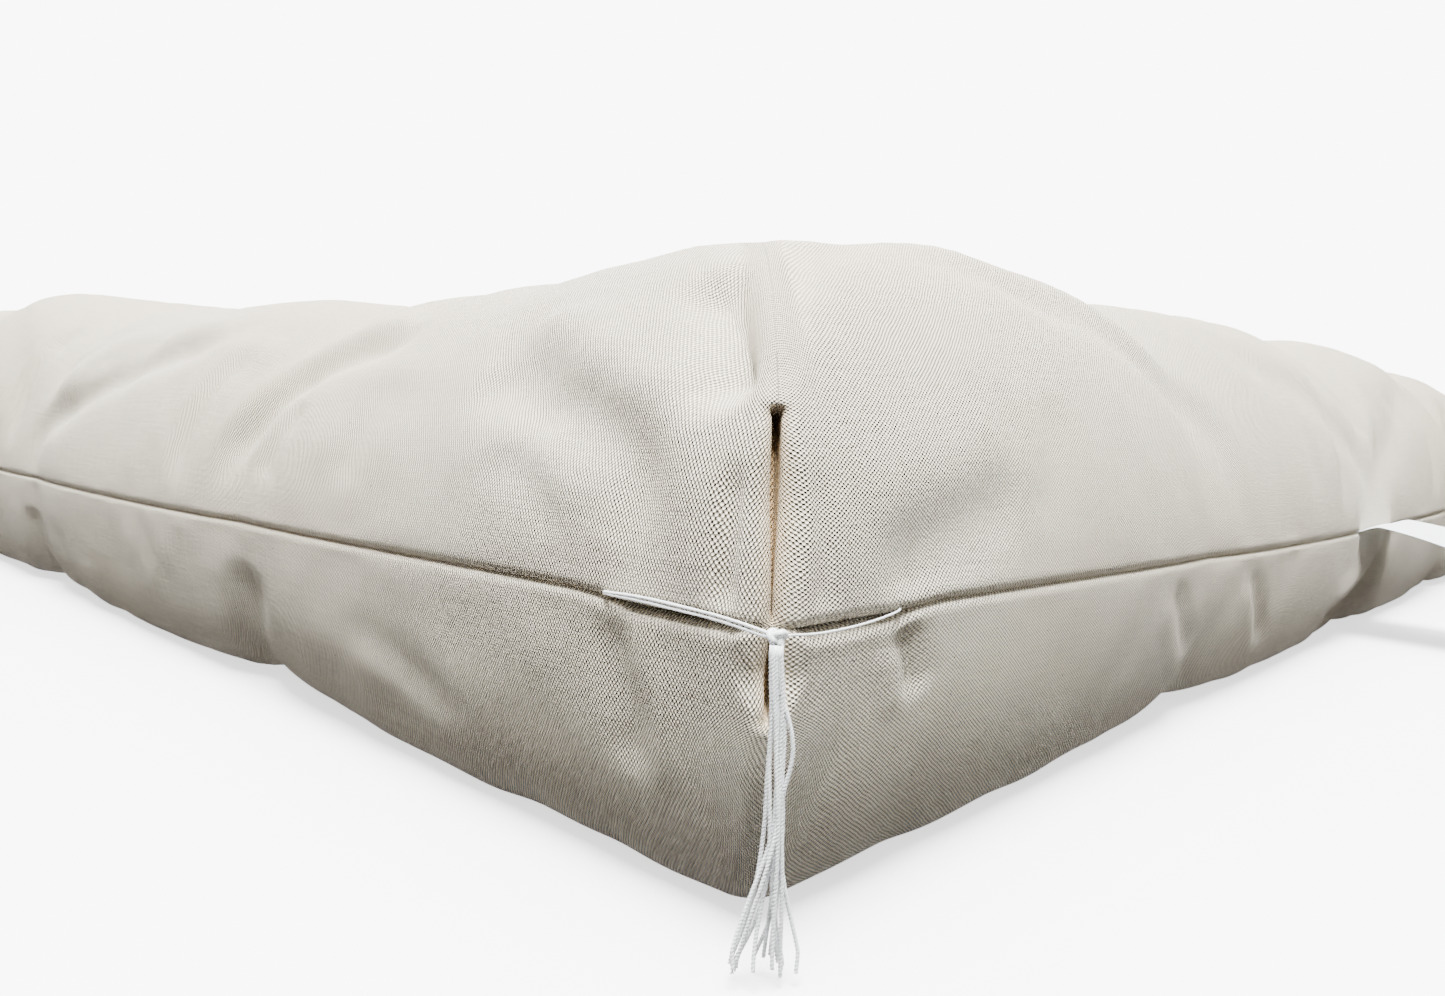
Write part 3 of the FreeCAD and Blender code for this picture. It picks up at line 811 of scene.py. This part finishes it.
# Outwards from the knot, sideways and down, as the tassel hangs, in millimetres.
TASSEL_ROUTE = [(0.9, 0, 0), (1.3, 0.9, 13), (1.3, 0.7, 27), (1.1, -0.3, 41.2)]
STRANDS = 13
STRAND_RADIUS = 0.31 * MM
BUNDLE_RADIUS = 1.02 * MM   # of the strands' middles just under the knot
STRAND_SPREAD = 4.8 * MM    # how far apart the cut ends get at most
STRAND_LIMIT = 4.5 * MM     # and how far from the tassel's line a strand stays
HAIR_RADIUS = 0.07 * MM     # of the fibres at a frayed end


def corner_frame(corner):
    """A corner's outward and sideways directions, and its knot's centre."""
    sx, sy = CORNERS[corner]
    out = np.array([sx, sy, 0]) / math.sqrt(2)
    side = np.array([-out[1], out[0], 0])
    centre = np.array([sx * HALF, sy * HALF, 0]) + out * KNOT_OUT
    centre[2] = KNOT_HEIGHT
    return out, side, centre


def tassel_strands(out, side, line, seed):
    """The twisted strands of a tassel: close together under the knot, loose and spread at the cut ends."""
    rng = np.random.default_rng(seed)
    parts = []
    for number in range(STRANDS):
        t = np.linspace(0, 1, 400)
        start = (2.4 * number + rng.uniform(-0.3, 0.3)) % (2 * math.pi)
        drift = rng.uniform(-2.4, 2.4)
        close = BUNDLE_RADIUS * math.sqrt((number + 0.5) / STRANDS)
        spread = rng.uniform(0.45, 1.0) * STRAND_SPREAD
        opening = np.clip((t - rng.uniform(0.42, 0.6)) / 0.5, 0, 1) ** 1.6
        turn = start + drift * (1 - t) + 0.5 * np.sin(5 * t + start) * (1 - t)
        wave = 0.34 * MM * np.sin(8 * t + 3 * start) * smooth(0.05, 0.3, t)
        away = close * (0.75 + 0.5 * t) + 0.25 * MM * t + spread * opening + wave
        if number == 3:
            # One strand hangs in a loop of its own, clear of the rest.
            away = away + 1.7 * MM * np.sin(math.pi * np.clip((t - 0.08) / 0.4, 0, 1)) ** 2
            turn = np.full(len(t), 0.3)
        away = np.clip(np.abs(away), 0, STRAND_LIMIT)
        centre = along_line(line, t)
        # Most of the spread is sideways, because the ends lie against the cover.
        lean = side[None] * (away * np.cos(turn))[:, None] + out[None] * (0.6 * away * np.sin(turn))[:, None]
        path = centre + lean
        path = np.concatenate([path[:1] + [[0, 0, 1.3 * MM]], path])
        # Cut ends are uneven.
        cut = rng.integers(0, 19)
        path = path[: len(path) - cut]
        parts.append(strand(path, STRAND_RADIUS, 8, twist=6200.0, ply=0.42, phase=start))
        # Every fourth strand has a frayed end.
        if number % 4 == 1:
            for _ in range(3):
                lean_out = side * rng.uniform(-0.3, 0.3) * MM + out * rng.uniform(-0.2, 0.2) * MM
                low = np.linspace(0, 1, 6)[:, None]
                fibre = path[-1] + lean_out * low ** 1.4 - np.array([0, 0, 0.6 * MM]) * low
                fibre[:, 2] = np.maximum(fibre[:, 2], FLOOR_CLEARANCE)
                parts.append(strand(fibre, HAIR_RADIUS, 5))
    return parts


def knot_strands(out, side, centre, seed):
    """A tight overhand knot, turned a little differently at each corner."""
    t = np.linspace(0, 2 * math.pi, 90)
    turn = seed * 0.7
    a = np.sin(t + turn) + 2 * np.sin(2 * (t + turn))
    b = np.cos(t + turn) - 2 * np.cos(2 * (t + turn))
    c = -np.sin(3 * (t + turn))
    scale = 0.36 * MM
    loop = centre + (np.outer(a, side) + np.outer(b, [0, 0, 1]) + np.outer(c * 1.1, out)) * scale
    return [strand(loop, 0.48 * MM, 10, twist=2600.0, ply=0.25)]


# Ways of the tie threads from the seam to the knot, in millimetres: distance back from the corner, distance off
# the side, height over the seam, and the share of the thread's lift that is added to it.
LEFT_WAY = [(34.5, -2.6, -0.6, 0), (33.2, -0.2, -0.3, 0.4), (24, 0.55, 0.1, 1), (10, 0.7, -0.1, 1)]
RIGHT_WAY = [(29.6, -2.6, -0.6, 0), (28.4, -0.2, -0.8, 0), (19, 0.5, -1.5, 0), (9, 0.6, -1.6, 0)]
# Each thread: whether it is on the right, its way, its distance off the side at the corner, lift and radius.
TIES = [
    (False, LEFT_WAY, 1.0, 0.28, 0.26),
    (False, LEFT_WAY, 1.0, -0.30, 0.26),
    (True, RIGHT_WAY, 0.9, -0.2, 0.19),
]


def tie_strands(corner, centre):
    """The threads drawn from the seams to the knot: a tight pair on the left, one slack one on the right."""
    sx, sy = CORNERS[corner]
    parts = []
    for right, way, corner_off, lift, radius in TIES:
        stations = [(back, off, SEAM / MM + height + lift * share) for back, off, height, share in way]
        stations.append((1.2, corner_off, centre[2] / MM + lift))
        line = []
        for back, off, height in stations:
            x, y = HALF - back * MM, HALF + off * MM
            if right == (sx != sy):
                x, y = y, x
            line.append(np.array([sx * x, sy * y, height * MM]))
        parts.append(strand(spline(line + [centre], 14), radius * MM, 8, twist=2800.0, ply=0.25))
    return parts


for number, corner in enumerate(CORNERS):
    out, side, centre = corner_frame(corner)
    ties = joined(f"tie_threads_{corner}", tie_strands(corner, centre))
    finish_piece(ties, "tassel_thread", "cushion", f"corner_tie_{corner}")
    knot = joined(f"knot_{corner}", knot_strands(out, side, centre, number))
    finish_piece(knot, "tassel_thread", "cushion", f"corner_knot_{corner}")
    begin = centre - np.array([0, 0, KNOT_RADIUS + TASSEL_CLEARANCE])
    route = [begin + (out * o + side * w - np.array([0, 0, d])) * MM for o, w, d in TASSEL_ROUTE]
    line = nurbs_line(route)
    hanging = joined(f"tassel_strands_{corner}", tassel_strands(out, side, line, 60 + number))
    finish_piece(hanging, "tassel_thread", f"tassel_{corner}", f"tassel_{corner}")


# ------ seams, stitches and tufts

def seam_point(number, along, inward):
    """A point on a side's seam, a distance inside the cover."""
    (ex, ey), (nx, ny) = SIDES[number]
    depth = HALF - float(side_pull(np.array([along]))[0]) - inward
    height = float(seam_height(np.array([along]))[0])
    return np.array([ex * along + nx * depth, ey * along + ny * depth, height])


def seam_line(inward, reach):
    """A closed line along all four seams."""
    points = []
    for number in range(4):
        points += [seam_point(number, along, inward) for along in np.linspace(-reach, reach, 90)]
    return np.array(points + points[:1])


stitching = joined("seam_stitching", [strand(seam_line(4.5 * MM, HALF - 16 * MM), 0.2 * MM, 6)])
finish_piece(stitching, "sewing_thread", "cushion", "seam_thread")

CLOSING_LENGTH, CLOSING_PITCH = 190 * MM, 5 * MM
hand_stitches = []
for place in np.arange(-CLOSING_LENGTH / 2, CLOSING_LENGTH / 2, CLOSING_PITCH):
    low = seam_point(2, place, 1.3 * MM) - [0, 0, 1.9 * MM]
    high = seam_point(2, place + 1.1 * MM, 1.3 * MM) + [0, 0, 1.9 * MM]
    middle = (low + high) / 2 + [0, 0.35 * MM, 0]
    hand_stitches.append(strand(spline([low, middle, high], 8), 0.2 * MM, 6))
closing = joined("closing_hand_stitches", hand_stitches)
finish_piece(closing, "sewing_thread", "cushion", "closing_stitches")


def surface_height(points, x, y):
    """Height of a panel's surface at a place, from its nearest points."""
    r = np.hypot(points[:, 0] - x, points[:, 1] - y)
    return float(points[np.argsort(r)[:6], 2].mean())


for number, (x, y) in enumerate(TUFTS, start=1):
    rng = np.random.default_rng(80 + number)
    high, low = surface_height(top[0], x, y), surface_height(bottom[0], x, y)
    parts = [strand(np.array([[x, y, low - 0.2 * MM], [x, y, high + 0.2 * MM]]), 1.2 * MM, 10)]
    for turn in rng.uniform(0, math.pi) + np.arange(2) * math.pi / 2:
        reach = np.array([math.cos(turn), math.sin(turn), 0]) * 4.5 * MM
        for z, bow in ((high, 1.0 * MM), (low, -1.0 * MM)):
            centre = np.array([x, y, z])
            ends = [centre + way * reach + [0, 0, bow * 0.3] for way in (-1, 1)]
            bar = spline([ends[0], centre + [0, 0, bow * 1.4], ends[1]], 8)
            parts.append(strand(bar, 0.55 * MM, 8, twist=1500.0, ply=0.25))
    tie = joined(f"tuft_threads_{number}", parts)
    finish_piece(tie, "tuft_thread", "cushion", f"tuft_tie_{number}")


# ------ filling

FILLING_CORNER = 24 * MM    # leg of the piece that the filling leaves out at each corner, behind the tuck
FILLING_GAP = 3.2 * MM      # between the filling and the cover
FILLING_FLOOR = 1.5 * MM    # height of the filling's underside


def shrunk(points, quads, inward):
    """A panel's points moved inwards, and kept back from the tucked corners."""
    inner = points - normals_of(points, quads) * inward
    reach = np.abs(inner[:, :2])
    past = np.maximum(0, reach.sum(axis=1) - (2 * HALF - FILLING_CORNER)) / 2
    inner[:, :2] = np.sign(inner[:, :2]) * (reach - past[:, None])
    return inner


filling_points = np.concatenate([shrunk(*panel[:2], FILLING_GAP) for panel in (top, bottom)])
filling_points[:, 2] = np.maximum(filling_points[:, 2], FILLING_FLOOR)
filling_quads = np.concatenate([top[1], bottom[1] + len(top[0])])
filling = mesh_object("batting_fill", filling_points, filling_quads)
LAYERS = ["batting_bottom", "batting_lower", "batting_core", "batting_upper", "batting_top"]
finish_piece(filling, "cotton_batting", "cushion", *LAYERS)


# ------ care label

label_low, label_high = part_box("care_label")


def label_shape():
    """Points, quads and cloth coordinates of the tape, from inside the seam to its free end.

    It comes up out of the seam, bends over, and droops more at its front edge."""
    rows, columns = 40, 50
    points, uv = [], []
    width, out = label_high.y - label_low.y, 44 * MM
    for i in range(rows + 1):
        for j in range(columns + 1):
            v, w = i / rows, j / columns
            along = label_low.y + w * width
            root = seam_point(1, along, 3.5 * MM)
            droop = (4.2 + 3.6 * (1 - w)) * v ** 1.4
            ripple = 0.7 * math.sin(5.5 * w + 1) * v
            arch = 3.6 * float(smooth(0.02, 0.24, v)) * (1 - v ** 2)
            points.append([root[0] + v * out * 0.98, root[1], root[2] + (arch - droop + ripple) * MM])
            uv.append([w * width, v * out])
    i, j = np.meshgrid(np.arange(rows), np.arange(columns), indexing="ij")
    a = i * (columns + 1) + j
    quads = np.stack([a, a + 1, a + columns + 2, a + columns + 1], axis=-1).reshape(-1, 4)
    return np.array(points), quads, np.array(uv)


label = mesh_object("label_tape_sheet", *label_shape())
thicken = label.modifiers.new("thickness", "SOLIDIFY")
thicken.thickness = 0.45 * MM
thicken.offset = 0
finish_piece(label, "label_tape", None, "care_label")
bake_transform(label)


# ------ CAD pieces that stay

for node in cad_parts.values():
    if not node.hide_render:
        node.data.materials.clear()
        node.data.materials.append(batting)


# ------ camera, floor and light

bpy.ops.mesh.primitive_circle_add(vertices=128, radius=21.8, fill_type="NGON", location=(0, 0, -0.2 * MM))
floor = bpy.context.active_object
floor.name = "studio_floor"
floor_nodes = Nodes("studio_white")
glowing = {"Emission_Color": (1, 1, 1, 1), "Emission_Strength": 1.6}
floor.data.materials.append(floor_nodes.surface((0.92, 0.92, 0.92, 1), 0.9, **glowing))
floor.visible_diffuse = False

# A plain white backdrop all round, seen by the camera and lighting nothing.
backdrop_nodes = Nodes("backdrop_white")
glow = backdrop_nodes.add("Emission", Color=(1, 1, 1, 1), Strength=9.0)
backdrop_out = backdrop_nodes.add("OutputMaterial")
backdrop_nodes.tree.links.new(glow.outputs[0], backdrop_out.inputs["Surface"])
bpy.ops.mesh.primitive_uv_sphere_add(radius=22, segments=48, ring_count=24)
backdrop = bpy.context.active_object
backdrop.name = "studio_backdrop"
backdrop.data.materials.append(backdrop_nodes.material)
for ray in ("diffuse", "glossy", "transmission", "volume_scatter", "shadow"):
    setattr(backdrop, "visible_" + ray, False)

# The camera looks at the near corner from close by, a little down and a little tilted.
VIEW_AROUND, VIEW_DOWN, VIEW_ROLL = math.radians(42.9), math.radians(4.44), math.radians(2.4)
camera_data = bpy.data.cameras.new("camera")
camera_data.lens = 25.98
camera_data.sensor_width = 36.0
camera_data.clip_start = 0.01
camera = bpy.data.objects.new("camera", camera_data)
bpy.context.scene.collection.objects.link(camera)
flat_right = np.array([math.cos(VIEW_AROUND), math.sin(VIEW_AROUND), 0])
flat_ahead = np.array([-math.sin(VIEW_AROUND), math.cos(VIEW_AROUND), 0])
upright = np.array([0, 0, 1.0])
ahead = flat_ahead * math.cos(VIEW_DOWN) - upright * math.sin(VIEW_DOWN)
above = upright * math.cos(VIEW_DOWN) + flat_ahead * math.sin(VIEW_DOWN)
right_hand = flat_right * math.cos(VIEW_ROLL) + above * math.sin(VIEW_ROLL)
overhead = above * math.cos(VIEW_ROLL) - flat_right * math.sin(VIEW_ROLL)
near_knot = corner_frame("front_right")[2]
# The knot as the camera sees it: a little to the right, a little low, and close in front.
KNOT_RIGHT, KNOT_LOW, KNOT_AHEAD = 6.79 * MM, 17.45 * MM, 130 * MM
stand = near_knot - (KNOT_RIGHT * right_hand - KNOT_LOW * overhead + KNOT_AHEAD * ahead)
turned = np.eye(4)
turned[:3, 0], turned[:3, 1], turned[:3, 2], turned[:3, 3] = right_hand, overhead, -ahead, stand
camera.matrix_world = Matrix(turned.tolist())
bpy.context.scene.camera = camera


def soft_light(name, place, target, size, watts):
    """A round soft box at a place, facing a target."""
    data = bpy.data.lights.new(name, "AREA")
    data.shape, data.size, data.energy = "DISK", size, watts
    thing = bpy.data.objects.new(name, data)
    bpy.context.scene.collection.objects.link(thing)
    thing.location = place
    thing.rotation_euler = (Vector(target) - Vector(place)).to_track_quat("-Z", "Y").to_euler()


soft_light("high_light", (0.64, -0.70, 1.95), (0.25, -0.25, 0.05), 1.0, 230)
soft_light("overhead_light", (0.1, -0.1, 1.9), (0.1, -0.1, 0), 1.6, 80)

# A white studio tent: bright above and round about, and dark below.
world = bpy.data.worlds.new("studio")
world.use_nodes = True
tent = world.node_tree
direction = tent.nodes.new("ShaderNodeTexCoord")
split = tent.nodes.new("ShaderNodeSeparateXYZ")
tent.links.new(direction.outputs["Generated"], split.inputs[0])
ramp = tent.nodes.new("ShaderNodeMapRange")
ramp.interpolation_type = "SMOOTHSTEP"
for limit, value in (("From Min", 0.15), ("From Max", 0.9), ("To Min", 0.03), ("To Max", 1.5)):
    ramp.inputs[limit].default_value = value
tent.links.new(split.outputs["Z"], ramp.inputs["Value"])
# What little light comes from low down is warm.
tint = tent.nodes.new("ShaderNodeValToRGB")
low_stop, high_stop = tint.color_ramp.elements
low_stop.position, low_stop.color = 0.2, (1.0, 0.58, 0.28, 1)
high_stop.position, high_stop.color = 0.6, (0.97, 0.99, 1.0, 1)
tent.links.new(split.outputs["Z"], tint.inputs["Fac"])
background = tent.nodes["Background"]
tent.links.new(tint.outputs["Color"], background.inputs["Color"])
tent.links.new(ramp.outputs[0], background.inputs["Strength"])
bpy.context.scene.world = world
